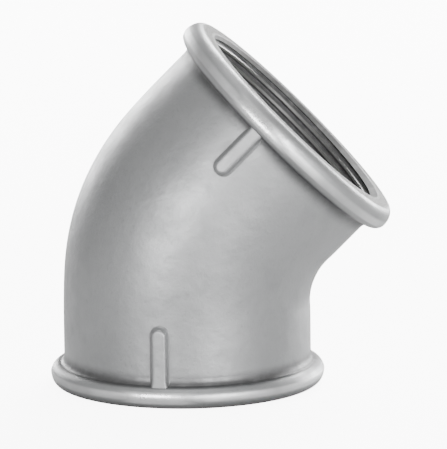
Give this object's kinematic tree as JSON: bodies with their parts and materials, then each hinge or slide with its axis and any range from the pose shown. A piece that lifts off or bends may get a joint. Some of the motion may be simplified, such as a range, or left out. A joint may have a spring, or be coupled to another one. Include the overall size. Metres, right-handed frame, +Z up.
{
  "type": "beaded 45 degree pipe elbow",
  "caption": "Cast-iron 45 degree flue or pipe elbow with a rounded bead, a female pipe thread and short ribs at each mouth.",
  "frame": {"origin": "centre of the lower mouth, on its face", "axes": "+Z runs up the lower socket; the upper mouth leans over towards +X, so the bend lies in the XZ plane and the part is the same on both sides of it"},
  "size_m": [0.1345, 0.1092, 0.1425],
  "materials": {
    "casting": "matte",
    "cut_thread": "satin"
  },
  "bodies": {
    "root": {"elbow_bend": "casting", "lower_socket": "casting", "upper_socket": "casting", "lower_bead": "casting", "upper_bead": "casting", "lower_rib_front": "casting", "lower_rib_back": "casting", "upper_rib_front": "casting", "upper_rib_back": "casting", "lower_thread": "cut_thread", "upper_thread": "cut_thread"}
  },
  "joints": []
}
